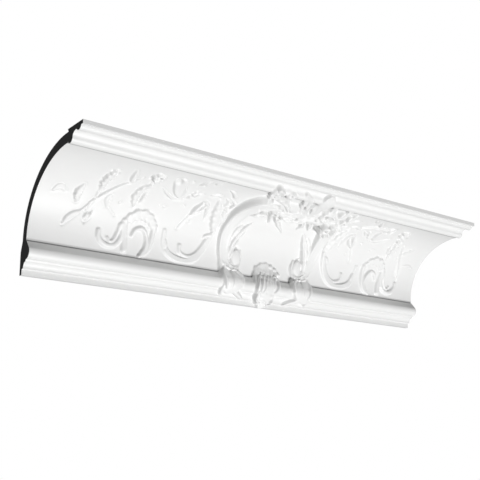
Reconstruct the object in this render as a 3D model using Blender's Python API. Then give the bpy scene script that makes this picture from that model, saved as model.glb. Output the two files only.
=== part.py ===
"""Cornice moulding section: one cast length with a deep cove between a beaded lower edge and a stepped
crown.  Leafy scrollwork runs along the cove, and a scrolled frame with a shell foot and a flowered crest
stands in the middle of the pattern.

Metres, +Z up.  X runs along the moulding, -Y faces the room and +Y the wall.  The origin is on the back
of the wall flange, at mid-length and at half the flange's height.

The profile is drawn as (out, up): out from the wall and up from the lower edge.  The ornament is drawn
on a grid whose divisions are about a millimetre at the real size: GRID_COVE of them climb the cove.
"""

import math

import bmesh
import bpy
from mathutils import Matrix, Vector

NAME = "cornice_moulding"

# Overall sizes
LENGTH = 1.000
DROP = 0.2166
PROJECTION = 0.2183

# Casting thickness and the flat strips that are glued or screwed
WALL_FLANGE = 0.042
CEILING_FLANGE = 0.0533
SHELL_LOW = 0.017
SHELL_TOP = 0.019
BACK_STEP = 0.0015

# Lower edge: fillet, small hollow, fillet, bead, sloping shoulder
FOOT_OUT = 0.0082
FOOT_HIGH = 0.0100
HOLLOW_OUT = 0.0135
HOLLOW_FOOT = 0.0110
HOLLOW_RADIUS = 0.01173
HOLLOW_SWEEP = math.radians(63.5)
FILLET_OUT = 0.0225
FILLET_FOOT = 0.0220
BEAD_OUT = 0.0363
BEAD_HIGH = 0.0375
BEAD_RADIUS = 0.0125
BEAD_TOP = math.radians(48)

# Cove: a quarter ellipse between its two edges
COVE_FOOT_OUT = 0.0215
COVE_FOOT_HIGH = 0.0600

# Crown: from the cove's upper edge out to the ceiling corner
CROWN_OUT = 0.0518
CROWN_HIGH = 0.0242
LIP_OUT = 0.0080
LIP_DROP = 0.0024
OVOLO_OUT = 0.0090
OVOLO_HIGH = 0.0080
CAVETTO_OUT = 0.0120
CAVETTO_HIGH = 0.0098
QUIRK_OUT = 0.0015
ROLL_OUT = 0.0075
ROLL_DROP = 0.0068
ROLL_START = -0.8 * math.pi
FASCIA_HIGH = 0.0073

COVE_REACH = PROJECTION - CROWN_OUT - COVE_FOOT_OUT
COVE_RISE = DROP - CROWN_HIGH - COVE_FOOT_HIGH
COVE_CENTRE = (COVE_FOOT_OUT + COVE_REACH, COVE_FOOT_HIGH)
COVE_TOP = COVE_FOOT_HIGH + COVE_RISE

# Ornament grid and its place along the moulding
GRID_COVE = 218
PATTERN_CENTRE = 0.035
END_MARGIN = 0.012
BRANCH_TIP = 482
SPRIG_TIP = 510
LEAST = 0.6
SINK = 0.003
DEEP_SINK = 0.012
WING_LIFT = 0.8

# Ground lines: the run added past each end of the cove, and how the draped line passes the bead and crown
GROUND_SPARE = 0.030
DRAPE_START = (0.0040, -0.0060)
DRAPE_SKIM = 0.0010
DRAPE_BEAD_HIGH = 0.0030
DRAPE_STAND = 0.0040
DRAPE_CROWN = ((0.010, 0.001), (0.026, 0.006), (0.040, 0.011))

COVE_STEPS = 15
BACK_STEPS = 12
ROUND_STEPS = 4
LINE_STEPS = 60
MERGE = 0.00001
FLAT_ANGLE = math.radians(3.5)

WHITE = (0.86, 0.86, 0.85, 1.0)
SATIN = 0.45


def arc(centre, radii, start, end, steps):
    """Points of an elliptical arc, angles in radians."""
    span = [start + (end - start) * i / steps for i in range(steps + 1)]
    return [(centre[0] + radii[0] * math.cos(a), centre[1] + radii[1] * math.sin(a)) for a in span]


def profile():
    """The closed (out, up) outline: front from the lower edge to the ceiling, then back down the shell."""
    quarter = math.pi / 2
    front = [(0.0, 0.0), (FOOT_OUT, 0.0), (FOOT_OUT, FOOT_HIGH)]
    front += arc((HOLLOW_OUT + HOLLOW_RADIUS, HOLLOW_FOOT), (HOLLOW_RADIUS, HOLLOW_RADIUS),
                 math.pi, math.pi - HOLLOW_SWEEP, ROUND_STEPS)
    front += [(FILLET_OUT, FILLET_FOOT)]
    front += arc((BEAD_OUT - BEAD_RADIUS, BEAD_HIGH), (BEAD_RADIUS, BEAD_RADIUS),
                 -quarter, BEAD_TOP, 2 * ROUND_STEPS)
    front += arc(COVE_CENTRE, (COVE_REACH, COVE_RISE), math.pi, quarter, COVE_STEPS)
    lip = (COVE_CENTRE[0] + LIP_OUT, COVE_TOP - LIP_DROP)
    front += arc((lip[0], lip[1] + OVOLO_HIGH), (OVOLO_OUT, OVOLO_HIGH), -quarter, 0, ROUND_STEPS)
    hollow = (lip[0] + OVOLO_OUT + CAVETTO_OUT, lip[1] + OVOLO_HIGH)
    front += arc(hollow, (CAVETTO_OUT, CAVETTO_HIGH), math.pi, quarter, ROUND_STEPS)[1:]
    roll = (hollow[0] + QUIRK_OUT + ROLL_OUT, DROP - FASCIA_HIGH)
    front += arc(roll, (ROLL_OUT, ROLL_DROP), ROLL_START, 0, ROUND_STEPS)
    front += [(PROJECTION, DROP - FASCIA_HIGH), (PROJECTION, DROP)]
    back_reach = COVE_REACH + SHELL_LOW
    back_rise = COVE_RISE + SHELL_TOP
    back = [(PROJECTION - CEILING_FLANGE, DROP)]
    back += arc((COVE_CENTRE[0] + BACK_STEP, COVE_FOOT_HIGH), (back_reach, back_rise), quarter, math.pi,
                BACK_STEPS)
    back += [(0.0, WALL_FLANGE)]
    return front + back


def to_world(along, out, up):
    """A point given along, out and up, in the part's own frame."""
    return Vector((along, -out, up - WALL_FLANGE / 2))


def make_shell():
    """The plain casting: the profile drawn as a flat curve, thickened to the length, made a mesh."""
    curve = bpy.data.curves.new("profile", "CURVE")
    curve.dimensions = "2D"
    curve.fill_mode = "BOTH"
    curve.extrude = LENGTH / 2
    points = profile()
    spline = curve.splines.new("POLY")
    spline.points.add(len(points) - 1)
    for point, (out, up) in zip(spline.points, points):
        point.co = (out, up, 0.0, 1.0)
    spline.use_cyclic_u = True
    drawn = bpy.data.objects.new("profile", curve)
    bpy.context.scene.collection.objects.link(drawn)
    drawn.matrix_world = Matrix(((0, 0, -1, 0), (-1, 0, 0, 0), (0, 1, 0, -WALL_FLANGE / 2), (0, 0, 0, 1)))
    bpy.context.view_layer.update()
    evaluated = drawn.evaluated_get(bpy.context.evaluated_depsgraph_get())
    mesh = bpy.data.meshes.new_from_object(evaluated)
    shell = bpy.data.objects.new(NAME, mesh)
    shell.matrix_world = drawn.matrix_world
    bpy.data.objects.remove(drawn)
    work = bmesh.new()
    work.from_mesh(mesh)
    bmesh.ops.remove_doubles(work, verts=work.verts, dist=MERGE)
    bmesh.ops.recalc_face_normals(work, faces=work.faces)
    work.to_mesh(mesh)
    work.free()
    mesh.name = NAME
    return shell


def spline_through(points, steps):
    """Catmull-Rom points through rows of any width, `steps` stations from the first to the last."""
    rows = [Vector(p) for p in points]
    first = rows[0] * 2 - rows[1]
    last = rows[-1] * 2 - rows[-2]
    rows = [first] + rows + [last]
    made = []
    for i in range(steps):
        place = (len(points) - 1) * i / (steps - 1)
        k = min(int(place), len(points) - 2)
        t = place - k
        a, b, c, d = rows[k:k + 4]
        made.append(0.5 * (2 * b + (c - a) * t + (2 * a - 5 * b + 4 * c - d) * t * t
                           + (3 * b - a - 3 * c + d) * t * t * t))
    return made


class Ground:
    """A curve in the profile's plane that ornament lies on, measured in grid divisions along it."""

    def __init__(self, points, foot):
        """points: (out, up) pairs, close together; foot: the place in them of division 0."""
        self.points = [Vector(p) for p in points]
        lengths = [0.0]
        for a, b in zip(self.points, self.points[1:]):
            lengths.append(lengths[-1] + (b - a).length)
        self.lengths = [value - lengths[foot] for value in lengths]

    def place(self, along, climb, height):
        """World point at grid (along, climb), raised by height divisions off the ground."""
        want = climb * UNIT
        k = 0
        while k < len(self.lengths) - 2 and self.lengths[k + 1] < want:
            k += 1
        a, b = self.points[k], self.points[k + 1]
        t = (want - self.lengths[k]) / (self.lengths[k + 1] - self.lengths[k])
        point = a.lerp(b, t)
        before = self.points[max(k - 1, 0)]
        after = self.points[min(k + 2, len(self.points) - 1)]
        slope = ((b - before) * (1 - t) + (after - a) * t).normalized()
        out = point.x + slope.y * height * UNIT
        up = point.y - slope.x * height * UNIT
        return to_world(PATTERN_CENTRE + along * UNIT, out, up)


COVE_LINE = arc(COVE_CENTRE, (COVE_REACH, COVE_RISE), math.pi, math.pi / 2, LINE_STEPS)
UNIT = sum(math.dist(a, b) for a, b in zip(COVE_LINE, COVE_LINE[1:])) / GRID_COVE

COVE = Ground([(COVE_FOOT_OUT, COVE_FOOT_HIGH - GROUND_SPARE)] + COVE_LINE
              + [(COVE_CENTRE[0] + GROUND_SPARE, COVE_TOP)], 1)


def draped_line():
    """The line that bold ornament lies on: round the bead, up the cove and over the crown."""
    cove = arc(COVE_CENTRE, (COVE_REACH, COVE_RISE), math.radians(172), math.radians(98), 8)
    bead = [(FOOT_OUT + DRAPE_START[0], DRAPE_START[1]), (FILLET_OUT + DRAPE_SKIM, FOOT_HIGH),
            (BEAD_OUT - 2 * DRAPE_SKIM, FILLET_FOOT + DRAPE_BEAD_HIGH), (BEAD_OUT + DRAPE_SKIM, BEAD_HIGH),
            (BEAD_OUT - DRAPE_STAND, BEAD_HIGH + BEAD_RADIUS),
            (COVE_FOOT_OUT + DRAPE_STAND, COVE_FOOT_HIGH + DRAPE_STAND)]
    crown = [(COVE_CENTRE[0] + out, COVE_TOP + up) for out, up in DRAPE_CROWN]
    return spline_through(bead + cove + crown + [(PROJECTION, DROP - FASCIA_HIGH)], 2 * LINE_STEPS)


DRAPE_LINE = draped_line()
DRAPE = Ground(DRAPE_LINE, min(range(LINE_STEPS), key=lambda i: abs(DRAPE_LINE[i].y - COVE_FOOT_HIGH)))

# Cross-sections of a carved stroke, as (across, height) shares from its left foot to its right foot
RIDGE = ((0.0, 1.0),)
BAND = ((-0.62, 1.0), (0.62, 1.0))
FLUTED = ((-0.75, 1.0), (0.0, 0.62), (0.75, 1.0))


class Carver:
    """Makes the raised pieces of ornament, each a closed solid that is sunk a little into its ground."""

    def __init__(self, collection, ground, sink, side=1, lift=1.0):
        """side: 1 as drawn, -1 mirrored about the pattern's centre; lift: a share of every height."""
        self.collection = collection
        self.ground = ground
        self.sink = sink / UNIT
        self.side = side
        self.lift = lift

    def point(self, along, climb, height):
        """World point of a grid place; heights below the ground aren't scaled by the lift."""
        return self.ground.place(self.side * along, climb, height * (self.lift if height > 0 else 1.0))

    def solid(self, rings, name):
        """A closed loft through rings of points, all with the same count, capped at both ends."""
        work = bmesh.new()
        rows = [[work.verts.new(p) for p in ring] for ring in rings]
        count = len(rows[0])
        for a, b in zip(rows, rows[1:]):
            for i in range(count):
                j = (i + 1) % count
                work.faces.new((a[i], a[j], b[j], b[i]))
        work.faces.new(rows[0])
        work.faces.new(list(reversed(rows[-1])))
        bmesh.ops.triangulate(work, faces=[f for f in work.faces if len(f.verts) > 3])
        bmesh.ops.recalc_face_normals(work, faces=work.faces)
        mesh = bpy.data.meshes.new(name)
        work.to_mesh(mesh)
        work.free()
        made = bpy.data.objects.new(name, mesh)
        made.hide_render = True
        made.display_type = "WIRE"
        self.collection.objects.link(made)
        return made

    def stroke(self, path, widths, heights, section=RIDGE, steps=7, lobes=0.0):
        """A carved line along `path`, a list of (along, climb); widths are half-widths.

        lobes: the share by which every second station is narrower, which gives a leaf its edge.
        """
        stations = spline_through(path, steps)
        wide = spline_through([(w, 0.0) for w in resample(widths, len(path))], steps)
        high = spline_through([(h, 0.0) for h in resample(heights, len(path))], steps)
        rings = []
        for i, here in enumerate(stations):
            ahead = stations[min(i + 1, steps - 1)]
            behind = stations[max(i - 1, 0)]
            way = (ahead - behind).normalized()
            across = Vector((-way.y, way.x))
            half = max(wide[i].x, LEAST) * (1.0 - lobes * (i % 2))
            tall = max(high[i].x, LEAST)
            shape = ((-1.0, -self.sink),) + tuple((a, h * tall) for a, h in section) + ((1.0, -self.sink),)
            rings.append([self.point(*(here + across * half * a), h) for a, h in shape])
        return self.solid(rings, "stroke")

    def dome(self, centre, radii, height, tilt=0.0, sides=10, dish=1.0):
        """A low rounded boss; dish under 1 sinks its middle."""
        rings = []
        for share, tall in ((1.0, -self.sink), (0.8, height * 0.7), (0.4, height), (0.12, height * dish)):
            ring = []
            for i in range(sides):
                angle = 2 * math.pi * i / sides
                x = radii[0] * share * math.cos(angle)
                y = radii[1] * share * math.sin(angle)
                along = centre[0] + x * math.cos(tilt) - y * math.sin(tilt)
                climb = centre[1] + x * math.sin(tilt) + y * math.cos(tilt)
                ring.append(self.point(along, climb, tall))
            rings.append(ring)
        return self.solid(rings, "boss")

    def rosette(self, centre, radius, height, petals=5, turn=0.0):
        """A flower: petals as broad strokes round a boss."""
        for i in range(petals):
            angle = turn + 2 * math.pi * i / petals
            way = Vector((math.cos(angle), math.sin(angle)))
            path = [Vector(centre) + way * radius * share for share in (0.1, 0.6, 1.0)]
            self.stroke(path, (0.2 * radius, 0.42 * radius, 0.2 * radius),
                        (0.75 * height, height, 0.7 * height), section=BAND, steps=4)
        self.dome(centre, (0.3 * radius, 0.3 * radius), 1.15 * height, sides=7)

    def shell(self, apex, inner, outer, start, end, ribs, heights):
        """A fan of ribs that spread from the apex, angles in degrees."""
        for i in range(ribs):
            angle = math.radians(start + (end - start) * i / (ribs - 1))
            reach = outer * (0.86 + 0.14 * math.sin(math.pi * (i + 0.5) / ribs))
            half = math.radians((end - start) / (ribs - 1)) * 0.56
            way = Vector((math.cos(angle), math.sin(angle)))
            middle = (inner + reach) / 2
            path = [Vector(apex) + way * r for r in (inner, middle, reach * 0.93, reach)]
            widths = (half * inner, half * middle, half * reach, half * reach * 0.55)
            self.stroke(path, widths, heights, section=RIDGE, steps=6)


def resample(values, count):
    """A single value or a shorter list of values, spread evenly over `count` places."""
    if isinstance(values, (int, float)):
        return [values] * count
    spread = []
    for i in range(count):
        place = (len(values) - 1) * i / (count - 1)
        k = min(int(place), len(values) - 2)
        spread.append(values[k] + (values[k + 1] - values[k]) * (place - k))
    return spread


def carve_scrolls(carver):
    """The bold C-scrolls low on the cove: far hook, middle scroll under its arch, near great scroll."""
    stroke = carver.stroke
    stroke([(405, 42), (407, 24), (393, 11), (372, 11), (359, 26), (354, 50), (361, 70)],
           (5, 7, 7, 6, 6, 4), 9, section=BAND, steps=10)
    carver.dome((404, 40), (8, 8), 11, sides=8)
    stroke([(359, 40), (368, 27), (380, 22), (385, 28)], (4, 4, 3), 8, steps=5)
    stroke([(352, 70), (349, 40), (351, 14)], (4, 6, 8), 8, section=BAND, steps=5)
    stroke([(358, 75), (346, 88), (331, 100), (322, 105), (302, 91), (287, 76)], (4, 6, 7, 7, 5), 9,
           steps=9)
    stroke([(290, 76), (284, 48), (287, 22), (302, 9), (318, 3)], (8, 11, 9, 7, 4), (8, 10, 9, 7),
           section=FLUTED, steps=7)
    stroke([(330, 36), (328, 50), (315, 56), (301, 50), (297, 36), (306, 22)], (3, 5, 5, 5, 3), 8, steps=8)
    stroke([(264, 76), (267, 50), (255, 20), (233, 7), (198, 4), (178, 20), (163, 50), (158, 80)],
           (4, 6, 8, 9, 9, 8, 7, 6), (7, 9, 10, 10, 10, 9), section=FLUTED, steps=11)
    stroke([(226, 38), (229, 24), (214, 20), (196, 24), (176, 52)], (5, 4, 4, 3), (8, 8, 7), steps=8)
    stroke([(258, 46), (250, 34), (246, 22)], (2, 4, 2), 8, steps=4)
    stroke([(168, 84), (148, 92)], 4, 9, section=BAND, steps=3)


def carve_leaves(carver):
    """Acanthus, lily and flowers that grow from the scrolls."""
    stroke = carver.stroke
    stroke([(162, 90), (172, 112), (183, 135), (184, 158)], (5, 13, 10, 2), (8, 9, 8, 4), steps=7, lobes=0.35)
    stroke([(160, 96), (160, 125), (166, 150)], (5, 8, 2), (8, 9, 5), steps=6, lobes=0.3)
    stroke([(158, 94), (148, 120), (149, 140)], (4, 8, 2), (7, 8, 5), steps=6, lobes=0.3)
    stroke([(240, 70), (230, 92), (220, 112)], (2, 2.5, 4), 5, steps=5)
    for tip in ((220, 112), (203, 105), (192, 98)):
        stroke([(207, 150), ((207 + tip[0]) / 2 + 3, 130), tip], (3, 6, 2), (5, 8, 4), steps=5)
    stroke([(205, 160), (192, 172), (176, 174)], (2, 4, 2), 6, steps=4)
    stroke([(195, 214), (170, 200), (156, 184)], (2, 4, 3), 5, steps=5)
    stroke([(310, 158), (292, 144), (272, 135), (257, 140)], (2, 3, 3, 3), 5, steps=7)
    stroke([(263, 144), (287, 158), (297, 196)], (4, 7, 2), (5, 8, 5), steps=6, lobes=0.25)
    stroke([(261, 146), (275, 170), (280, 203)], (4, 7, 2), (5, 8, 5), steps=6, lobes=0.25)
    stroke([(258, 146), (264, 168), (265, 192)], (4, 6, 2), (5, 7, 4), steps=5)
    carver.rosette((340, 186), 14, 8)
    stroke([(343, 176), (345, 160), (341, 142)], (2, 3, 5), 5, steps=5)
    stroke([(352, 106), (359, 122), (350, 144)], (3, 6, 2), (5, 7, 4), steps=5, lobes=0.25)
    stroke([(346, 108), (346, 122), (344, 138)], (4, 6, 3), (6, 8, 5), steps=4)
    stroke([(341, 108), (334, 132)], (3, 3), 6, steps=3)
    stroke([(243, 196), (248, 214)], (4, 2), 6, steps=3)
    stroke([(243, 148), (247, 166)], (5, 2), 6, steps=3)
    stroke([(223, 146), (229, 160)], (3, 2), 5, steps=3)
    stroke([(205, 203), (218, 213)], (3, 2), 4, steps=3)
    for spot in ((377, 102), (283, 114), (217, 90)):
        carver.dome(spot, (4, 4), 4, sides=6)
    stroke([(394, 104), (392, 90), (378, 72)], 2, 4, steps=5)
    stroke([(400, 88), (404, 114)], (5, 2), 5, steps=3)


def carve_branch(carver):
    """The branch at the wing's tip, with its bound stem, buds and leaf sprays."""
    stroke = carver.stroke
    stroke([(479, 38), (463, 54), (443, 68), (431, 88), (423, 104)], (1.5, 9, 7, 4, 3.5), (3, 6, 6, 5),
           steps=8)
    stroke([(436, 89), (422, 95)], 3, 7, section=BAND, steps=3)
    stroke([(423, 104), (424, 124), (430, 146)], (3, 3, 2), 5, steps=4)
    for tip in ((436, 158), (423, 177), (408, 168), (401, 140)):
        stroke([(421, 122), ((421 + tip[0]) / 2, (126 + tip[1]) / 2), tip], (2, 5, 1.5), (4, 7, 4), steps=4)
    stroke([(423, 104), (403, 122), (387, 140), (375, 160)], (3, 3, 2.5), 5, steps=6)
    stroke([(375, 156), (384, 174), (387, 192)], (2, 5, 2), (4, 7, 4), steps=4)
    carver.dome((430, 62), (6, 11), 7, tilt=0.35, sides=8)
    stroke([(424, 78), (417, 66)], (3, 1.5), 5, steps=3)


def carve_sprig(carver):
    """The faint leaves past the branch, where the wing fades out."""
    carver.stroke([(491, 98), (500, 106), (507, 112)], (2, 7, 2), 3, steps=4)
    carver.stroke([(466, 90), (472, 108), (465, 126)], (2, 7, 2), (3, 6, 3), steps=6, lobes=0.4)


def carve_frame_side(carver):
    """One side of the middle frame: the great fluted scroll, its volute and its foot over the bead."""
    stroke = carver.stroke
    stroke([(84, 208), (108, 192), (122, 162), (126, 122), (125, 84), (122, 54), (117, 30), (107, 14), (92, 9),
            (78, 18), (73, 38), (81, 53)],
           (9, 12, 12, 12, 11, 11, 10, 9, 7, 5, 4, 3), (20, 20, 18, 16, 14, 13, 13, 13, 14, 14, 14, 13),
           section=FLUTED, steps=18)
    carver.dome((93, 37), (15, 21), 18, sides=12)
    stroke([(112, 50), (107, 76), (96, 98), (77, 114)], (3, 6, 6, 1.5), (12, 13, 13, 8), steps=7)
    stroke([(106, 10), (111, -10), (111, -28), (106, -44)], (11, 16, 15, 9), (13, 13, 10, 7), section=BAND,
           steps=6)
    stroke([(110, -34), (112, -50), (111, -62)], (8, 5, 2), (6, 4, 2), steps=4)
    stroke([(94, -12), (80, -32), (60, -44), (38, -48)], (8, 9, 8, 5), (10, 9, 8, 8), section=BAND, steps=6)
    stroke([(52, 8), (60, -6), (72, -18)], (3, 4, 3), 12, steps=4)


def carve_shell_foot(carver):
    """The shell below the frame's bare field, with the boss that hangs under it."""
    stroke = carver.stroke
    carver.shell((0, -44), 14, 78, 54, 126, 7, (12, 14, 17, 11))
    carver.dome((0, -41), (20, 16), 17, sides=12)
    for side in (-1, 1):
        stroke([(side * 40, 6), (side * 34, -14), (side * 24, -32), (side * 14, -44)], (3, 5, 5, 4),
               (12, 15, 15, 14), steps=6)
        stroke([(side * 30, -26), (side * 42, -34), (side * 38, -46), (side * 24, -52)], (4, 6, 6, 4), 9,
               steps=6)


def carve_crest(carver):
    """The crest over the frame: a rose, a tall shell leaf, a second flower and the leaves between."""
    stroke = carver.stroke
    carver.rosette((-74, 221), 21, 15, petals=6, turn=0.4)
    carver.shell((26, 158), 16, 72, 58, 116, 5, (17, 20, 21, 14))
    stroke([(62, 158), (56, 184), (36, 208), (12, 216)], (7, 14, 12, 3), (15, 19, 18, 10), steps=7, lobes=0.15)
    stroke([(-24, 226), (-34, 204), (-28, 178), (-8, 158)], (3, 11, 13, 8), (9, 16, 18, 16), steps=7,
           lobes=0.15)
    carver.rosette((100, 158), 21, 17, petals=6)
    stroke([(120, 148), (136, 174), (138, 202), (124, 224)], (7, 12, 11, 3), (14, 18, 18, 10), steps=6,
           lobes=0.2)
    stroke([(86, 172), (86, 198), (100, 222)], (8, 11, 3), (16, 18, 10), steps=5, lobes=0.2)
    stroke([(-118, 168), (-100, 176), (-78, 176), (-60, 164), (-62, 150), (-74, 150)],
           (10, 11, 9, 6, 5, 3), (18, 20, 18, 16), steps=9)
    stroke([(-86, 196), (-62, 196), (-40, 184), (-22, 168)], (12, 13, 10, 7), (20, 21, 20), section=BAND,
           steps=6)
    stroke([(-54, 178), (-34, 160), (-14, 142), (10, 122)], (6, 6, 6, 1.5), (13, 14, 11, 5), steps=7)
    stroke([(-8, 156), (24, 150), (56, 154), (78, 150)], (8, 9, 9, 6), (16, 18, 18, 14), section=BAND, steps=6)
    stroke([(40, 150), (50, 132), (46, 118)], (5, 5, 1.5), (12, 12, 6), steps=4)
    stroke([(70, 150), (80, 128), (94, 112)], (6, 7, 3), (14, 14, 10), steps=5)


def carve_all(collection):
    """All raised ornament: two wings, the shorter one without what would pass the cut end, and the frame."""
    for side in (-1, 1):
        wing = Carver(collection, COVE, SINK, side, WING_LIFT)
        carve_scrolls(wing)
        carve_leaves(wing)
        reach = (LENGTH / 2 - side * PATTERN_CENTRE - END_MARGIN) / UNIT
        if reach > BRANCH_TIP:
            carve_branch(wing)
        if reach > SPRIG_TIP:
            carve_sprig(wing)
        carve_frame_side(Carver(collection, DRAPE, DEEP_SINK, side))
    middle = Carver(collection, DRAPE, DEEP_SINK)
    carve_shell_foot(middle)
    carve_crest(middle)


def white_casting():
    """The casting's white, slightly satin surface."""
    material = bpy.data.materials.new("white_casting")
    material.use_nodes = True
    shader = material.node_tree.nodes["Principled BSDF"]
    shader.inputs["Base Color"].default_value = WHITE
    shader.inputs["Roughness"].default_value = SATIN
    shader.inputs["Metallic"].default_value = 0.0
    return material


def main():
    for old in list(bpy.data.objects):
        bpy.data.objects.remove(old)
    parts = bpy.data.collections.new(NAME)
    relief = bpy.data.collections.new("relief")
    bpy.context.scene.collection.children.link(parts)
    bpy.context.scene.collection.children.link(relief)
    moulding = make_shell()
    parts.objects.link(moulding)
    moulding.data.materials.append(white_casting())
    carve_all(relief)
    union = moulding.modifiers.new("relief", "BOOLEAN")
    union.operation = "UNION"
    union.operand_type = "COLLECTION"
    union.collection = relief
    union.solver = "EXACT"
    flat = moulding.modifiers.new("merge_flat_faces", "DECIMATE")
    flat.decimate_type = "DISSOLVE"
    flat.angle_limit = FLAT_ANGLE


main()
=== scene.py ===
"""Looks of the cornice moulding section: a white casting with a deep cove, a scrolled frame with a shell foot
and a flowered crest, and leafy scrollwork on both sides, in a plain pale studio.

Metres, +Z up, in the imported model's own frame: X runs along the moulding and -Y faces the room.  The casting
is swept along its length by one Geometry Nodes tree, and a second raises its carving.  Ornament is drawn in
grid divisions of about a millimetre: along, from the pattern's centre, and climb, from the foot of the cove.
"""

import logging
import math
from dataclasses import dataclass, field
from enum import Enum
from typing import Any

import bmesh
import bpy
import numpy as np
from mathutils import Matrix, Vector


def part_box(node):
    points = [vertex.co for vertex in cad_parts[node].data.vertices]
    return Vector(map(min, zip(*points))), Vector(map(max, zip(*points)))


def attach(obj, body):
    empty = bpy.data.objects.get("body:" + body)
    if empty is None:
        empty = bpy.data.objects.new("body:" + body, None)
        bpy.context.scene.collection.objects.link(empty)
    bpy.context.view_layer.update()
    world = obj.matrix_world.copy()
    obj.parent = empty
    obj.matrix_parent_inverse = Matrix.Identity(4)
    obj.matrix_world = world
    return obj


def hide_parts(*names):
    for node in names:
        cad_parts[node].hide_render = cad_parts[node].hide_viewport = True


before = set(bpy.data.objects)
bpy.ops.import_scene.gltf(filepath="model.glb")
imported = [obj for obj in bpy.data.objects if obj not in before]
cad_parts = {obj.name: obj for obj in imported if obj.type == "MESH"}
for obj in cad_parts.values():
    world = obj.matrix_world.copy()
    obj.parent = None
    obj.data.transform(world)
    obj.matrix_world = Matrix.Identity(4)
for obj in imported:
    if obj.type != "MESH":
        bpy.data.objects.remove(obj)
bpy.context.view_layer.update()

NODE = "cornice_moulding"
WHITE = (1.0, 1.0, 1.0, 1.0)

Pair = tuple[float, float]
Tone = tuple[float, float, float, float]
Values = float | tuple[float, ...]

log = logging.getLogger("cornice")


class Wire:
    """A node's output that arithmetic is written on; each operation adds its Math node."""

    def __init__(self, graph: "Graph", socket: bpy.types.NodeSocket) -> None:
        """Keeps the output and the graph that it belongs to."""
        self.graph = graph
        self.socket = socket

    def math(self, operation: str, first: "Wire | float", second: "Wire | float") -> "Wire":
        """Adds a Math node on two values and wraps its result."""
        return self.graph.wire("ShaderNodeMath", {"operation": operation}, {0: first, 1: second})

    def __add__(self, other: "Wire | float") -> "Wire":
        """This plus other."""
        return self.math("ADD", self, other)

    def __sub__(self, other: "Wire | float") -> "Wire":
        """This less other."""
        return self.math("SUBTRACT", self, other)

    def __rsub__(self, other: float) -> "Wire":
        """Other less this."""
        return self.math("SUBTRACT", other, self)

    def __mul__(self, other: "Wire | float") -> "Wire":
        """This times other."""
        return self.math("MULTIPLY", self, other)

    def __gt__(self, other: "Wire | float") -> "Wire":
        """1 where this is over other, else 0."""
        return self.math("GREATER_THAN", self, other)

    def __abs__(self) -> "Wire":
        """This without its sign."""
        return self.math("ABSOLUTE", self, 0.0)

    __radd__ = __add__
    __rmul__ = __mul__


class Graph:
    """Fills a shader or geometry node tree."""

    def __init__(self, tree: bpy.types.NodeTree) -> None:
        """Empties the tree and keeps it."""
        tree.nodes.clear()
        self.tree = tree

    def node(self, kind: str, settings: dict[str, Any] | None = None,
             sockets: dict[str | int, Any] | None = None) -> bpy.types.Node:
        """Adds a node.

        Args:
            kind: the node's type.
            settings: its own settings, which are set first.
            sockets: a value or a Wire for each input, by name or place.

        Returns:
            The node.
        """
        made = self.tree.nodes.new(kind)
        for name, value in (settings or {}).items():
            setattr(made, name, value)
        for key, value in (sockets or {}).items():
            if isinstance(value, Wire):
                self.tree.links.new(value.socket, made.inputs[key])
            else:
                made.inputs[key].default_value = value
        return made

    def wire(self, kind: str, settings: dict[str, Any] | None = None,
             sockets: dict[str | int, Any] | None = None, output: str | int = 0) -> Wire:
        """Adds a node and wraps one of its outputs."""
        return Wire(self, self.node(kind, settings, sockets).outputs[output])


class GeometryTree:
    """A Geometry Nodes tree with named inputs, run on an object and baked to a plain mesh."""

    def __init__(self, name: str, inputs: dict[str, str]) -> None:
        """Opens the tree.

        Args:
            name: the tree's name.
            inputs: each named input and its socket type, after the geometry.
        """
        self.tree = bpy.data.node_groups.new(name, "GeometryNodeTree")
        self.graph = Graph(self.tree)
        made = self.tree.interface.new_socket
        made("Geometry", in_out="OUTPUT", socket_type="NodeSocketGeometry")
        made("Geometry", in_out="INPUT", socket_type="NodeSocketGeometry")
        self.keys = {key: made(key, in_out="INPUT", socket_type=kind).identifier
                     for key, kind in inputs.items()}
        self.entry = self.graph.node("NodeGroupInput")

    def input(self, name: str) -> Wire:
        """One of the tree's inputs, as a Wire."""
        return Wire(self.graph, self.entry.outputs[name])

    def end(self, geometry: Wire, finish: Wire, part: Wire | None = None, other: Wire | None = None) -> None:
        """Closes the tree with Realize Instances and Set Material.

        Args:
            geometry: what the tree has made.
            finish: its material.
            part: faces that get another material.
            other: that material.
        """
        plain = self.graph.wire("GeometryNodeRealizeInstances", None, {0: geometry})
        dressed = self.graph.wire("GeometryNodeSetMaterial", None, {"Geometry": plain, "Material": finish})
        if part is not None:
            dressed = self.graph.wire("GeometryNodeSetMaterial", None,
                                      {"Geometry": dressed, "Selection": part, "Material": other})
        self.graph.node("NodeGroupOutput", None, {0: dressed})

    def bake(self, host: bpy.types.Object, **values: Any) -> bpy.types.Mesh:
        """Runs the tree on an object.

        Args:
            host: the object; its modifier is removed again.
            values: a value for each named input, with spaces in the names as underscores.

        Returns:
            The finished mesh.
        """
        modifier = host.modifiers.new(self.tree.name, "NODES")
        modifier.node_group = self.tree
        for name, value in values.items():
            modifier[self.keys[name.replace("_", " ")]] = value
        depsgraph = bpy.context.evaluated_depsgraph_get()
        depsgraph.update()
        mesh = bpy.data.meshes.new_from_object(host.evaluated_get(depsgraph), preserve_all_data_layers=True,
                                               depsgraph=depsgraph)
        host.modifiers.clear()
        return mesh


def placed(name: str, data: bpy.types.ID) -> bpy.types.Object:
    """Makes an object of some data and puts it in the scene."""
    made = bpy.data.objects.new(name, data)
    bpy.context.scene.collection.objects.link(made)
    return made


def open_material(name: str) -> tuple[bpy.types.Material, Graph]:
    """Makes a node material.

    Args:
        name: its name.

    Returns:
        The material, and its emptied tree.
    """
    made = bpy.data.materials.new(name)
    made.use_nodes = True
    return made, Graph(made.node_tree)


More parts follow.
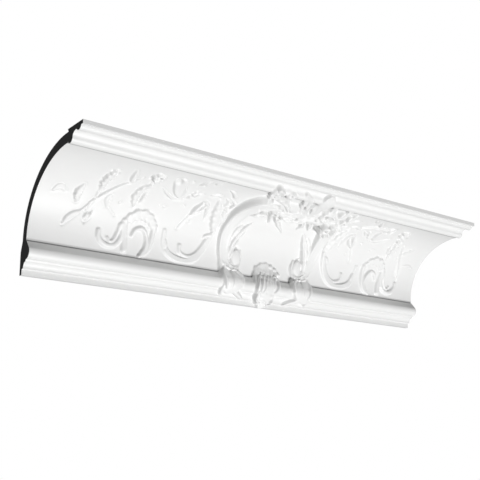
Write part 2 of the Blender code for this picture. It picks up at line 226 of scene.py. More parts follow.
@dataclass(frozen=True)
class CastingFinish:
    """Primed white foam: satin, faintly mottled, with a fine skin, and with painted shade along its grooves.

    Scales are noise cells per metre.  mottle_share and skin_share are how much the coarser noise counts
    against the grain, skin_depth is the skin's relief in metres, groove is the colour of the painted shade in
    the grooves, painted_shade_reach how far, in metres, that painted shade spreads from a groove, and
    painted_shade_share how much of it shows.
    """

    name: str = "primed_white"
    light: Tone = (0.715, 0.716, 0.711, 1.0)
    dull: Tone = (0.690, 0.691, 0.688, 1.0)
    # Painted shade: this dark tone, laid along the grooves, stands in for the shadow in their crevices.
    groove: Tone = (0.22, 0.222, 0.222, 1.0)
    painted_shade_reach: float = 0.0045
    painted_shade_share: float = 0.75
    mottle_scale: float = 7.0
    mottle_detail: float = 4.0
    mottle_share: float = 0.7
    skin_scale: float = 95.0
    skin_share: float = 0.7
    skin_depth: float = 0.00022
    skin_strength: float = 0.35
    grain_scale: float = 520.0
    fine_detail: float = 2.0
    roughness: float = 0.46
    rough_mottle: float = 0.10
    rough_grain: float = 0.08

    def material(self, grooves: list[Pair]) -> bpy.types.Material:
        """Builds the node material.

        Args:
            grooves: the grooves that run along the casting, as (Y, Z), along which shade is painted.

        Returns:
            The material.
        """
        made, graph = open_material(self.name)
        place = graph.wire("ShaderNodeTexCoord", output="Object")
        mottle, skin, grain = (
            graph.wire("ShaderNodeTexNoise", None, {"Vector": place, "Scale": scale, "Detail": detail})
            for scale, detail in ((self.mottle_scale, self.mottle_detail),
                                  (self.skin_scale, self.fine_detail),
                                  (self.grain_scale, self.fine_detail)))
        blotch = mottle * self.mottle_share + grain * (1.0 - self.mottle_share)
        tone = graph.wire("ShaderNodeMix", {"data_type": "RGBA"},
                          {0: blotch, 6: self.light, 7: self.dull}, output=2)
        section = graph.wire("ShaderNodeVectorMath", {"operation": "MULTIPLY"},
                             {0: place, 1: (0.0, 1.0, 1.0)})
        # Painted shade: the tone darkens near each groove's line, standing in for the shadow in the crevice.
        for y, z in grooves:
            gap = graph.wire("ShaderNodeVectorMath", {"operation": "DISTANCE"},
                             {0: section, 1: (0.0, y, z)}, output="Value")
            near = graph.wire("ShaderNodeMapRange", None,
                              {"Value": gap, "From Max": self.painted_shade_reach, "To Min": self.painted_shade_share,
                               "To Max": 0.0}, output="Result")
            tone = graph.wire("ShaderNodeMix", {"data_type": "RGBA"},
                              {0: near, 6: tone, 7: self.groove}, output=2)
        height = skin * self.skin_share + grain * (1.0 - self.skin_share)
        relief = graph.wire("ShaderNodeBump", None, {"Height": height, "Strength": self.skin_strength,
                                                     "Distance": self.skin_depth})
        rough = self.roughness + (mottle - 0.5) * self.rough_mottle + (grain - 0.5) * self.rough_grain
        shader = graph.wire("ShaderNodeBsdfPrincipled", None,
                            {"Base Color": tone, "Roughness": rough, "Normal": relief})
        graph.node("ShaderNodeOutputMaterial", None, {"Surface": shader})
        return made


@dataclass(frozen=True)
class SawnFinish:
    """The sawn end: dark grey dense foam with fine open pores.

    Scales are cells per metre; pore_share is how much the pores count against the clouding, and pore_depth is
    their depth in metres.
    """

    name: str = "sawn_end"
    body: Tone = (0.105, 0.106, 0.107, 1.0)
    pore: Tone = (0.075, 0.076, 0.077, 1.0)
    pore_scale: float = 900.0
    pore_share: float = 0.6
    pore_depth: float = 0.0003
    pore_strength: float = 0.5
    cloud_scale: float = 60.0
    cloud_detail: float = 5.0
    roughness: float = 0.85
    rough_cloud: float = 0.1
    specular: float = 0.2

    def material(self) -> bpy.types.Material:
        """Builds the node material.

        Returns:
            The material.
        """
        made, graph = open_material(self.name)
        place = graph.wire("ShaderNodeTexCoord", output="Object")
        pores = graph.wire("ShaderNodeTexVoronoi", None, {"Vector": place, "Scale": self.pore_scale})
        cloud = graph.wire("ShaderNodeTexNoise", None,
                           {"Vector": place, "Scale": self.cloud_scale, "Detail": self.cloud_detail})
        share = pores * self.pore_share + cloud * (1.0 - self.pore_share)
        tone = graph.wire("ShaderNodeMix", {"data_type": "RGBA"},
                          {0: share, 6: self.pore, 7: self.body}, output=2)
        relief = graph.wire("ShaderNodeBump", None, {"Height": pores, "Strength": self.pore_strength,
                                                     "Distance": self.pore_depth})
        rough = self.roughness + (cloud - 0.5) * self.rough_cloud
        shader = graph.wire("ShaderNodeBsdfPrincipled", None,
                            {"Base Color": tone, "Roughness": rough, "Normal": relief,
                             "Specular IOR Level": self.specular})
        graph.node("ShaderNodeOutputMaterial", None, {"Surface": shader})
        return made


def ease(value: np.ndarray) -> np.ndarray:
    """A smooth step from 0 to 1 as value goes from 0 to 1."""
    share = np.clip(value, 0.0, 1.0)
    return share * share * (3.0 - 2.0 * share)


def spread(values: Values, count: int) -> np.ndarray:
    """One value or a few values, spread evenly over `count` places."""
    given = np.atleast_1d(np.asarray(values, float))
    return np.interp(np.linspace(0.0, 1.0, count), np.linspace(0.0, 1.0, len(given)), given)


def smooth_line(rows: np.ndarray, step: float) -> np.ndarray:
    """Catmull-Rom points through rows of any width.

    Args:
        rows: the rows, of which the first two values are a place.
        step: the greatest distance between the points made.

    Returns:
        The points, with the share of the way along the line as a last value.
    """
    ends = np.vstack([2 * rows[0] - rows[1], rows, 2 * rows[-1] - rows[-2]])
    made = []
    for k in range(len(rows) - 1):
        a, b, c, d = ends[k:k + 4]
        count = max(2, math.ceil(np.hypot(*(c - b)[:2]) / step))
        t = (np.arange(count) / count)[:, None]
        made.append(0.5 * (2 * b + (c - a) * t + (2 * a - 5 * b + 4 * c - d) * t ** 2
                           + (3 * b - a - 3 * c + d) * t ** 3))
    line = np.vstack(made + [rows[-1:]])
    return np.column_stack([line, np.linspace(0.0, 1.0, len(line))])


def arc(centre: Pair, radii: Pair, start: float, end: float, step: float) -> np.ndarray:
    """Points of an elliptical arc.

    Args:
        centre: the ellipse's centre.
        radii: its half-axes.
        start: the first point's angle, in degrees.
        end: the last point's angle.
        step: the greatest distance between the points.

    Returns:
        The points.
    """
    turn = math.radians(end - start)
    count = max(2, math.ceil(abs(turn) * max(radii) / step))
    angle = math.radians(start) + turn * np.arange(count + 1) / count
    return np.column_stack([centre[0] + radii[0] * np.cos(angle), centre[1] + radii[1] * np.sin(angle)])


@dataclass(frozen=True)
class Profile:
    """The casting's cross-section, as (out from the wall, up from the lower edge), in metres.

    quirk_deep and quirk_wide size the fine grooves at the cove's foot and under its lip.  row_step and
    back_rows are the distances between points on the front and on the back.  The drape_ values place the line
    that bold ornament lies on: how far it keeps off the profile, how far below the lower edge it begins, the
    cove's angles that it follows, its points over the crown, measured from the cove's upper end, and the
    distance between its finished points.  It takes one in drape_stride of the cove's points.
    """

    drop: float
    projection: float
    wall_flange: float
    ceiling_flange: float = 0.0533
    shell_low: float = 0.017
    shell_top: float = 0.019
    back_step: float = 0.0015
    foot_out: float = 0.0082
    foot_high: float = 0.0100
    hollow_out: float = 0.0135
    hollow_foot: float = 0.0110
    hollow_radius: float = 0.01173
    hollow_sweep: float = 63.5
    fillet_out: float = 0.0225
    fillet_foot: float = 0.0220
    bead_out: float = 0.0363
    bead_high: float = 0.0375
    bead_radius: float = 0.0125
    bead_top: float = 48.0
    cove_out: float = 0.0215
    cove_high: float = 0.0600
    crown_out: float = 0.0518
    crown_high: float = 0.0242
    lip_out: float = 0.0080
    lip_drop: float = 0.0032
    ovolo_out: float = 0.0090
    ovolo_high: float = 0.0080
    cavetto_out: float = 0.0120
    cavetto_high: float = 0.0098
    quirk_out: float = 0.0015
    roll_out: float = 0.0075
    roll_drop: float = 0.0068
    roll_start: float = -144.0
    fascia_high: float = 0.0073
    quirk_deep: float = 0.0036
    quirk_wide: float = 0.0020
    row_step: float = 0.00148
    back_rows: float = 0.012
    drape_skim: float = 0.0010
    drape_stand: float = 0.0040
    drape_hang: float = 0.0060
    drape_cove: Pair = (172.0, 98.0)
    drape_stride: int = 14
    drape_crown: tuple[Pair, ...] = ((0.010, 0.001), (0.026, 0.006), (0.040, 0.011))
    drape_step: float = 0.0008

    @property
    def reach(self) -> float:
        """The cove's half-axis away from the wall."""
        return self.projection - self.crown_out - self.cove_out

    @property
    def rise(self) -> float:
        """The cove's half-axis upwards."""
        return self.drop - self.crown_high - self.cove_high

    @property
    def centre(self) -> Pair:
        """The centre of the cove's quarter ellipse."""
        return self.cove_out + self.reach, self.cove_high

    def cove(self, start: float = 180.0, end: float = 90.0) -> np.ndarray:
        """The cove's own curve between two angles in degrees."""
        return arc(self.centre, (self.reach, self.rise), start, end, self.row_step)

    def outline(self) -> tuple[np.ndarray, int, slice]:
        """Draws the closed outline.

        Returns:
            The points, the number of them on the front, and the run of them that is the cove.
        """
        top = self.cove_high + self.rise
        edge = self.centre[0]
        lip = (edge + self.lip_out, top - self.lip_drop)
        hollow = (lip[0] + self.ovolo_out + self.cavetto_out, lip[1] + self.ovolo_high)
        roll = (hollow[0] + self.quirk_out + self.roll_out, self.drop - self.fascia_high)
        below = [
            [(0.0, 0.0), (self.foot_out, 0.0), (self.foot_out, self.foot_high)],
            arc((self.hollow_out + self.hollow_radius, self.hollow_foot), (self.hollow_radius,) * 2,
                180.0, 180.0 - self.hollow_sweep, self.row_step),
            [(self.fillet_out, self.fillet_foot)],
            arc((self.bead_out - self.bead_radius, self.bead_high), (self.bead_radius,) * 2,
                -90.0, self.bead_top, self.row_step),
        ]
        above = [
            arc((lip[0], lip[1] + self.ovolo_high), (self.ovolo_out, self.ovolo_high),
                -90.0, 0.0, self.row_step),
            arc(hollow, (self.cavetto_out, self.cavetto_high), 180.0, 90.0, self.row_step)[1:],
            arc(roll, (self.roll_out, self.roll_drop), self.roll_start, 0.0, self.row_step),
            [(self.projection, self.drop - self.fascia_high), (self.projection, self.drop)],
        ]
        bead_end = below[-1][-1]
        shoulder = (bead_end - self.cove()[0]) / np.hypot(*(bead_end - self.cove()[0]))
        foot_quirk = [self.cove()[0] + self.quirk_wide * shoulder,
                      self.cove()[0] - (self.quirk_deep, self.quirk_wide / 2)]
        top_quirk = [(edge + self.quirk_wide / 2, top + self.quirk_deep),
                     (edge + self.quirk_wide, top - self.lip_drop * self.quirk_wide / self.lip_out)]
        low = self.divided(np.vstack(below + [foot_quirk, self.cove()[:1]]), self.row_step)[:-1]
        high = self.divided(np.vstack([self.cove()[-1:], top_quirk] + above), self.row_step)[1:]
        shell = arc((edge + self.back_step, self.cove_high),
                    (self.reach + self.shell_low, self.rise + self.shell_top), 90.0, 180.0, self.back_rows)
        back = [[(self.projection - self.ceiling_flange, self.drop)], shell, [(0.0, self.wall_flange)]]
        cove = slice(len(low), len(low) + len(self.cove()))
        front = np.vstack([low, self.cove(), high])
        return np.vstack([front] + back), len(front), cove

    @staticmethod
    def divided(points: np.ndarray, step: float, slack: float = 0.2) -> np.ndarray:
        """Divides the long straight runs of a line.

        Args:
            points: the line.
            step: the length that a run is divided to.
            slack: the share of the step by which a run may be longer and still stay whole.

        Returns:
            The divided line.
        """
        made = []
        for a, b in zip(points, points[1:]):
            count = max(1, math.ceil(np.hypot(*(b - a)) / step - slack))
            made.append(a + (b - a) * (np.arange(count) / count)[:, None])
        return np.vstack(made + [points[-1:]])

    def drape(self) -> np.ndarray:
        """Draws the line that bold ornament lies on: round the bead, up the cove and over the crown.

        Returns:
            Its points, close together.
        """
        skim, stand = self.drape_skim, self.drape_stand
        bead = [(self.foot_out + 2 * skim, -self.drape_hang), (self.hollow_out + 3 * skim, self.foot_high),
                (self.fillet_out + 7 * skim, self.fillet_foot), (self.bead_out + skim, self.bead_high),
                (self.bead_out - stand, self.bead_high + self.bead_radius),
                (self.cove_out + stand, self.cove_high + stand)]
        cove = self.cove(*self.drape_cove)[::self.drape_stride]
        edge, top = self.centre[0], self.cove_high + self.rise
        crown = [(edge + out, top + up) for out, up in self.drape_crown]
        points = np.vstack([bead, cove, crown, [(self.projection, self.drop - self.fascia_high)]])
        return smooth_line(points, self.drape_step)[:, :2]


@dataclass(frozen=True)
class Ground:
    """How the outline's front rows lie under ornament that is drawn over a ground line.

    climb: each row's place on the ground line, in divisions; stand: how far the line stands off the row, in
    divisions; way: the direction, as (out, up), in which ornament rises there.
    """

    climb: np.ndarray
    stand: np.ndarray
    way: np.ndarray

    @classmethod
    def under(cls, rows: np.ndarray, line: np.ndarray, foot: float, unit: float) -> "Ground":
        """Finds the place of each row on a ground line.

        Args:
            rows: the outline's front points.
            line: the ground line's points, close together.
            foot: the height of division 0.
            unit: the size of one division.

        Returns:
            The ground under those rows.
        """
        travelled = np.concatenate([[0.0], np.cumsum(np.hypot(*np.diff(line, axis=0).T))])
        travelled -= np.interp(foot, line[:, 1], travelled)
        slope = np.gradient(line, axis=0)
        slope /= np.linalg.norm(slope, axis=1)[:, None]
        gaps = np.linalg.norm(rows[:, None, :] - line[None, :, :], axis=2)
        near = gaps.argmin(1)
        offset = rows - line[near]
        climb = (travelled[near] + (offset * slope[near]).sum(1)) / unit
        way = np.column_stack([slope[near, 1], -slope[near, 0]])
        return cls(climb, -(offset * way).sum(1) / unit, way)


class Section(Enum):
    """How a carved stroke is shaped across its width."""

    ROUND = "round"
    BAND = "band"
    SMOOTH = "smooth"
    LEAF = "leaf"
    STEM = "stem"

    def rise(self, across: np.ndarray) -> np.ndarray:
        """Shapes a stroke.

        Args:
            across: the place across it, 0 on its middle line and 1 at its edge.

        Returns:
            The share of the stroke's height there.
        """
        if self is Section.ROUND:
            return np.sqrt(1.0 - 0.75 * across ** 2)
        if self is Section.BAND:
            return 0.86 + 0.14 * np.exp(-((across - 0.70) / 0.16) ** 2) - 0.10 * across ** 4
        if self is Section.SMOOTH:
            return 1.0 - 0.35 * across ** 4
        if self is Section.LEAF:
            return 0.84 + 0.16 * np.sin(math.pi * across) - 0.20 * np.exp(-(across / 0.18) ** 2)
        return 1.0 - 0.45 * across


@dataclass
class Relief:
    """Heights of carved ornament over a grid of places, in divisions.

    along, climb: the places of the grid's lines; stand: how far the ground line stands off each row; lift: a
    factor on every height; wall: the width of a piece's side; moat: the width of the groove round it;
    moat_share, sink: what the groove takes of what lies there, as a share and in divisions, whichever is
    more; deepest: how far below the ground it may sink; least: the step along a stroke, and its least
    half-width and height; fan_edge: how far inside its outline a fan's middle begins; fan_steps: the places
    that a fan's heights are spread over.
    """

    along: np.ndarray
    climb: np.ndarray
    stand: np.ndarray
    lift: float = 1.0
    wall: float = 1.35
    moat: float = 2.6
    moat_share: float = 0.45
    sink: float = 2.6
    deepest: float = 3.6
    least: float = 0.8
    fan_edge: float = 8.0
    fan_steps: int = 24
    height: np.ndarray = field(init=False)

    def __post_init__(self) -> None:
        """Starts with a bare ground."""
        self.height = np.zeros((len(self.along), len(self.climb)))

    def window(self, low: np.ndarray, high: np.ndarray) -> tuple[Any, np.ndarray, np.ndarray]:
        """Finds the part of the grid inside a box.

        Args:
            low: the box's least along and climb.
            high: its greatest.

        Returns:
            The part, as an index, with its places along and its places up the cove.
        """
        columns = np.flatnonzero((self.along > low[0]) & (self.along < high[0]))
        rows = np.flatnonzero((self.climb > low[1]) & (self.climb < high[1]))
        return np.ix_(columns, rows), self.along[columns][:, None], self.climb[rows][None, :]

    def lay(self, part: Any, across: np.ndarray, half: np.ndarray | float, rise: np.ndarray,
            groove: float = 1.0) -> None:
        """Lays one piece over what is there, with a narrow groove round it.

        Args:
            part: the part of the grid it may touch.
            across: 0 at the piece's middle, 1 on its outline, more outside.
            half: its half-width there, in divisions.
            rise: its height, in divisions.
            groove: how deep the groove round it is, as a share of the usual one.
        """
        stand = np.broadcast_to(self.stand[part[1].ravel()][None, :], across.shape)
        cover = ease((1.0 - across) * half / self.wall)
        piece = cover * np.maximum(0.0, stand + rise * self.lift)
        moat = ease(1.0 - np.maximum(0.0, across - 1.0) * half / self.moat)
        under = np.minimum(self.height[part] * (1.0 - min(1.0, groove * self.moat_share) * moat),
                           np.maximum(self.height[part] - groove * self.sink * moat, -self.deepest))
        self.height[part] = np.where(across < 1.0, np.maximum(under, piece), under)

    def stroke(self, path: list[Pair], widths: Values, heights: Values, section: Section = Section.ROUND,
               lobes: float = 0.0, cut: float = 0.3, groove: float = 1.0) -> None:
        """Carves a line.

        Args:
            path: its places, (along, climb).
            widths: half-widths, spread along it.
            heights: heights, spread along it.
            section: its shape across.
            lobes: how many lobes each edge has.
            cut: how deep the notches between lobes go, as a share of the half-width.
            groove: how deep the groove round it is, as a share of the usual one.
        """
        count = len(path)
        line = smooth_line(np.column_stack([path, spread(widths, count), spread(heights, count)]), self.least)
        line[:, 2:4] = np.maximum(line[:, 2:4], self.least)
        reach = line[:, 2].max() + self.moat
        part, along, climb = self.window(line[:, :2].min(0) - reach, line[:, :2].max(0) + reach)
        gap = np.hypot(along[..., None] - line[:, 0], climb[..., None] - line[:, 1]) / line[:, 2]
        if not gap.size:
            return
        near = gap.argmin(-1)
        across = gap.min(-1)
        rise = line[near, 3]
        if lobes:
            notch = 1.0 - np.abs(np.sin(math.pi * (lobes * line[near, 4] - 0.35 * across)))
            across = across / (1.0 - cut * notch)
            rise = rise * (1.0 - 0.35 * notch * np.clip(across, 0.0, 1.0))
        self.lay(part, across, line[near, 2], rise * section.rise(np.clip(across, 0.0, 1.0)), groove)

    def oval(self, centre: Pair, radii: Pair, tilt: float, rim: float) -> tuple[Any, np.ndarray]:
        """Measures a turned oval.

        Args:
            centre: its middle.
            radii: its half-axes.
            tilt: its turn, in radians.
            rim: how far round it the grid is taken.

        Returns:
            The part of the grid, and the distance there, 0 in the middle and 1 on the outline.
        """
        reach = max(radii) + rim
        part, along, climb = self.window(np.subtract(centre, reach), np.add(centre, reach))
        x, y = along - centre[0], climb - centre[1]
        u = (x * math.cos(tilt) + y * math.sin(tilt)) / radii[0]
        v = (y * math.cos(tilt) - x * math.sin(tilt)) / radii[1]
        return part, np.hypot(u, v)

    def dome(self, centre: Pair, radii: Pair, height: float, tilt: float = 0.0, groove: float = 1.0) -> None:
        """Carves a rounded boss.

        Args:
            centre: its middle.
            radii: its half-axes.
            height: its height.
            tilt: its turn, in radians.
            groove: how deep the groove round it is, as a share of the usual one.
        """
        part, across = self.oval(centre, radii, tilt, self.moat)
        rise = height * np.sqrt(1.0 - 0.8 * np.clip(across, 0.0, 1.0) ** 2)
        self.lay(part, across, min(radii), rise, groove)

    def pit(self, centre: Pair, radii: Pair, tilt: float = 0.0, depth: float = 3.0) -> None:
        """Sinks a hollow into what is there.

        Args:
            centre: its middle.
            radii: its half-axes.
            tilt: its turn, in radians.
            depth: its depth.
        """
        part, across = self.oval(centre, radii, tilt, 1.0)
        sunk = self.height[part] - depth * ease(1.6 * (1.0 - across))
        self.height[part] = np.maximum(sunk, np.minimum(self.height[part], -self.deepest))

    def rosette(self, centre: Pair, radius: float, height: float, petals: int = 5, turn: float = 0.0) -> None:
        """Carves a flower with cupped petals round a button.

        Args:
            centre: its middle.
            radius: how far its petals reach.
            height: its height.
            petals: how many petals it has.
            turn: the first petal's angle, in radians.
        """
        reach = radius + self.moat
        part, along, climb = self.window(np.subtract(centre, reach), np.add(centre, reach))
        x, y = along - centre[0], climb - centre[1]
        share = np.hypot(x, y) / radius
        petal = np.abs(np.cos(0.5 * petals * (np.arctan2(y, x) - turn)))
        across = share / (0.74 + 0.26 * petal ** 0.6)
        cup = 0.62 + 0.38 * ease((share - 0.30) / 0.45) - 0.22 * ease((across - 0.75) / 0.3)
        crease = 1.0 - 0.45 * np.exp(-(petal / 0.28) ** 2) * ease((share - 0.25) / 0.3)
        button = 0.98 * np.sqrt(np.clip(1.0 - (share / 0.27) ** 2, 0.0, 1.0))
        self.lay(part, across, radius, height * np.maximum(cup * crease, button))

    def fan(self, apex: Pair, inner: float, outer: float, start: float, end: float, ribs: int,
            heights: Values, scallop: float = 0.10, groove: float = 1.0) -> None:
        """Carves a fan of rounded ribs.

        Args:
            apex: where the ribs would meet.
            inner: the radius at which they start.
            outer: the radius at which they end.
            start: the first edge's angle, in degrees.
            end: the last edge's angle.
            ribs: how many there are.
            heights: heights from the inner end to the outer.
            scallop: how deep the outline dips between ribs, as a share of the outer radius.
            groove: how deep the groove round it is, as a share of the usual one.
        """
        reach = outer + self.fan_edge / 2
        part, along, climb = self.window(np.subtract(apex, reach), np.add(apex, reach))
        x, y = along - apex[0], climb - apex[1]
        radius = np.maximum(np.hypot(x, y), 0.001)
        place = (np.degrees(np.arctan2(y, x)) - start + 180.0) % 360.0 - 180.0
        place = place / (end - start)
        rib = np.abs(np.sin(math.pi * ribs * place))
        edge = outer * (0.90 + 0.10 * np.sin(math.pi * np.clip(place, 0, 1))) * (1.0 - scallop * (1.0 - rib))
        sides = 1.0 + (np.abs(place - 0.5) - 0.5) * math.radians(end - start) * radius / self.fan_edge
        rims = np.maximum(1.0 + (radius - edge) / self.fan_edge, 1.0 + (inner - radius) / self.fan_edge)
        across = np.maximum(rims, sides)
        way = np.clip((radius - inner) / (outer - inner), 0.0, 1.0)
        given = spread(heights, self.fan_steps)
        rise = np.interp(way, np.linspace(0.0, 1.0, len(given)), given)
        self.lay(part, np.clip(across, 0.0, 3.0), self.fan_edge, rise * (0.74 + 0.26 * rib ** 0.7), groove)


class Ornament:
    """Carves the pattern: its methods draw one sub-assembly each on a Relief.

    branch_tip and sprig_tip: how far a wing has to run, in divisions, to have its branch and its last sprig.
    """

    branch_tip: float = 482.0
    sprig_tip: float = 510.0

    def wing(self, relief: Relief, reach: float) -> None:
        """One wing of scrollwork.

        Args:
            relief: what it is carved on.
            reach: how far the casting runs on this side from the pattern's centre.
        """
        if reach > self.sprig_tip:
            self.sprig(relief)
        if reach > self.branch_tip:
            self.branch(relief)
        self.flowers(relief)
        self.leaves(relief)
        self.scrolls(relief)

    def scrolls(self, relief: Relief) -> None:
        """The C-scrolls low on the cove: far hook, middle scroll under its arch, near great scroll.

        Args:
            relief: what it is carved on.
        """
        stroke = relief.stroke
        stroke([(358, 57), (347, 67), (335, 78), (321, 84), (306, 81), (292, 70), (284, 56)],
               (4, 9, 12, 13, 12, 9, 6), (5, 7, 7, 6), Section.BAND, 7, 0.26, groove=0.7)
        stroke([(350, 68), (346, 44), (344, 24), (343, 11)], (5, 6, 8, 8), (6, 6, 8), groove=0.3)
        stroke([(380, 29), (374, 22), (367, 26), (361, 41), (358, 58)], (3.5, 4, 4, 4), (5, 6, 6), groove=0.1)
        stroke([(400, 40), (398, 27), (388, 17), (375, 14), (362, 18), (353, 32), (352, 46), (354, 60)],
               (5, 6, 6, 6, 6, 5.5, 5), (6, 7, 7, 6), groove=0.15)
        stroke([(285, 66), (286, 44), (289, 26), (297, 12), (309, 3)], (5.5, 6, 6.5, 6.5, 4.5), (6, 7, 8, 8),
               groove=0.3)
        stroke([(330, 40), (325, 52), (313, 57), (303, 50), (297, 36), (298, 20), (305, 8)],
               (4, 5, 5, 4.5, 5, 5), (7, 8, 7), groove=0.3)
        stroke([(262, 62), (258, 40), (249, 22), (231, 12), (206, 9), (184, 15), (169, 31), (158, 55),
                (151, 80)],
               (4.5, 6.5, 7, 7, 6.5, 6.5, 6, 5.5, 5), (4, 5, 6, 6.5, 7, 7, 8), Section.BAND, groove=0.1)
        stroke([(221, 38), (219, 26), (209, 20), (195, 19), (180, 28), (168, 45), (160, 66)],
               (5, 4.5, 4.5, 5, 5, 5, 4), (5, 5, 5.5, 5.5, 6), groove=0.05)
        stroke([(256, 44), (252, 33), (254, 26)], (3, 3.5, 1.5), (6, 7, 5), groove=0.3)
        stroke([(160, 70), (167, 66), (173, 58)], (3, 3.5, 1.5), (6, 6, 3), Section.LEAF, groove=0.3)

    def leaves(self, relief: Relief) -> None:
        """The acanthus beside the frame and the leaves over the scrolls.

        Args:
            relief: what it is carved on.
        """
        stroke = relief.stroke
        stroke([(150, 86), (146, 112), (150, 138)], (5, 9, 3), (7, 8, 5), Section.LEAF, 4, 0.2)
        stroke([(156, 84), (160, 104), (168, 128), (177, 152)], (7, 12, 10, 3), (8, 9, 8, 4),
               Section.ROUND, 5, 0.22, groove=0.5)
        stroke([(144, 138), (140, 150), (147, 157)], (2.5, 3, 2), 6)
        stroke([(158, 140), (156, 152), (164, 160)], (2.5, 3, 2), 5)
        stroke([(345, 98), (349, 118), (345, 138), (335, 152)], (4, 9, 7, 4), (5, 7, 8), Section.LEAF, 5, 0.4)
        stroke([(336, 108), (333, 122), (334, 132)], (3, 5, 2), (5, 7, 5), Section.LEAF, 3, 0.3)
        stroke([(244, 178), (238, 192), (231, 205)], (1.5, 4, 1.5), (3, 5, 3), Section.LEAF)
        stroke([(217, 198), (208, 212)], (3, 1.5), 4, Section.LEAF)
        stroke([(178, 188), (164, 182), (152, 168)], (1.5, 4, 3), (3, 5, 5), Section.LEAF)
        stroke([(202, 158), (188, 164), (176, 160)], (2, 4, 2), 3, Section.LEAF)
        stroke([(246, 140), (240, 150), (236, 162)], (3, 5, 2), (4, 7, 4), Section.LEAF, 3, 0.4)
        stroke([(232, 146), (226, 154), (220, 158)], (2, 3, 1.5), 4, Section.LEAF)
        for spot, size in (((292, 110), 2.5), ((281, 109), 4), ((215, 88), 3), ((374, 99), 4)):
            relief.dome(spot, (size, size), 2, groove=0.7)
        for spot, radii, tilt in (
                ((241, 147), (3, 6), -0.5), ((235, 185), (3, 7), -0.6), ((345, 168), (2, 4), -0.5),
                ((243, 120), (4, 4), 0.0), ((342, 140), (3, 7), -0.4), ((150, 128), (2.5, 6), -0.6),
                ((149, 148), (3, 4), 0.0), ((262, 187), (3, 6), -0.5)):
            relief.pit(spot, radii, tilt)

    def flowers(self, relief: Relief) -> None:
        """The lily, the tulip and the rose that stand between scrolls and lip.

        Args:
            relief: what it is carved on.
        """
        stroke = relief.stroke
        stroke([(236, 70), (227, 89), (219, 106)], (2.2, 2.2, 2.4), 4, Section.STEM)
        stroke([(212, 130), (203, 139), (194, 132), (187, 114), (185, 98)],
               (2.5, 5, 5, 4, 1.5), (5, 6, 6, 5, 3), Section.LEAF)
        stroke([(219, 104), (214, 120), (207, 136)], (3, 6, 3), (6, 9, 6))
        stroke([(213, 108), (203, 118), (197, 130)], (3, 4, 2), 7, Section.LEAF)
        stroke([(308, 151), (292, 139), (275, 131), (254, 133)], (1.5, 2.5, 2.5, 2), 5)
        stroke([(264, 142), (273, 157), (285, 178)], (8, 14, 13), (6, 6, 5), Section.BAND, groove=0.4)
        relief.pit((290, 181), (9, 13), -0.4, 4.0)
        stroke([(262, 140), (262, 156), (272, 180)], (3, 4, 2), (7, 8, 6), Section.LEAF, groove=0.4)
        stroke([(336, 152), (334, 164)], (2, 2), 4, Section.STEM)
        relief.rosette((332, 176), 14, 10)
        relief.pit((332, 178), (3, 11), -0.58, 9.0)
        relief.pit((322, 175), (4, 8), -0.3, 9.0)

    def branch(self, relief: Relief) -> None:
        """The branch at the wing's tip, with its bound stem, buds and leaf sprays.

        Args:
            relief: what it is carved on.
        """
        stroke = relief.stroke
        stroke([(396, 86), (401, 100), (396, 112)], (3, 5, 2), 3, Section.LEAF)
        stroke([(394, 102), (390, 86), (375, 72)], 1.5, 2.6, Section.STEM)
        stroke([(457, 86), (460, 102), (455, 119)], (5, 9, 4), (5, 8, 4), Section.LEAF, 5, 0.4)
        stroke([(424, 98), (423, 110), (424, 122)], 2.4, 4)
        stroke([(421, 118), (422, 136), (418, 154), (412, 170)], (4, 9, 9, 3), (6, 8, 8, 5),
               Section.LEAF, 6, 0.5)
        stroke([(420, 100), (404, 118), (386, 138), (374, 147)], (2.8, 2.8, 2.4), 6)
        stroke([(374, 146), (376, 162), (380, 182)], (2.5, 5.5, 2), (4, 5, 3), Section.LEAF)
        stroke([(373, 147), (364, 156), (359, 166)], (2, 3.5, 1.5), 4, Section.LEAF)
        stroke([(425, 96), (431, 80), (433, 70)], 2.2, 4, Section.STEM)
        stroke([(473, 38), (466, 50), (455, 61), (443, 69), (433, 82), (425, 95)],
               (1.5, 5.5, 5.5, 2.8, 2.8, 2.6), (3, 3.5, 4, 5))
        relief.dome((430, 60), (6, 9), 5, tilt=0.35)
        stroke([(421, 72), (424, 61), (430, 51)], (1.5, 3, 1.5), 6, Section.LEAF)
        stroke([(431, 88), (423, 95)], 2.2, 5, Section.STEM)
        for spot, radii in (
                ((415, 144), (3, 5)), ((408, 160), (3, 4)), ((421, 120), (3, 4)), ((428, 143), (2.5, 6)),
                ((422, 166), (2.5, 4)), ((467, 100), (2.5, 10)), ((432, 50), (2.5, 7))):
            relief.pit(spot, radii, -0.1)

    def cut_tip(self, relief: Relief) -> None:
        """The shorter branch of a wing that is cut off before its tip, and the leaf above its scrolls.

        Args:
            relief: what it is carved on.
        """
        stroke = relief.stroke
        stroke([(410, 86), (426, 88), (444, 82)], (2, 4, 1.5), 3, Section.LEAF, groove=0.4)
        stroke([(404, 46), (402, 68), (390, 94), (378, 118), (367, 140)], (2, 3, 3, 2.6, 2), 6)
        stroke([(396, 56), (392, 76), (384, 92)], (1.5, 2, 1.5), 5)
        stroke([(382, 112), (396, 122), (412, 134)], (3, 8, 3), (5, 6, 3), Section.LEAF, 3, 0.3)
        stroke([(204, 166), (232, 175), (260, 177), (278, 170)], (3, 7, 6, 2), (5, 7, 6, 3),
               Section.LEAF, 3, 0.2)
        for spot, radii, tilt in (
                ((338, 145), (5, 5), 0.0), ((352, 149), (4, 6), 0.4), ((370, 138), (3, 6), 0.5),
                ((260, 135), (5, 7), 0.0), ((324, 93), (4, 5), 0.4)):
            relief.pit(spot, radii, tilt)

    def sprig(self, relief: Relief) -> None:
        """The faint leaf past the branch, where the wing fades out."""
        relief.stroke([(506, 97), (496, 106), (484, 101)], (3, 7, 3), 2.2, Section.LEAF)

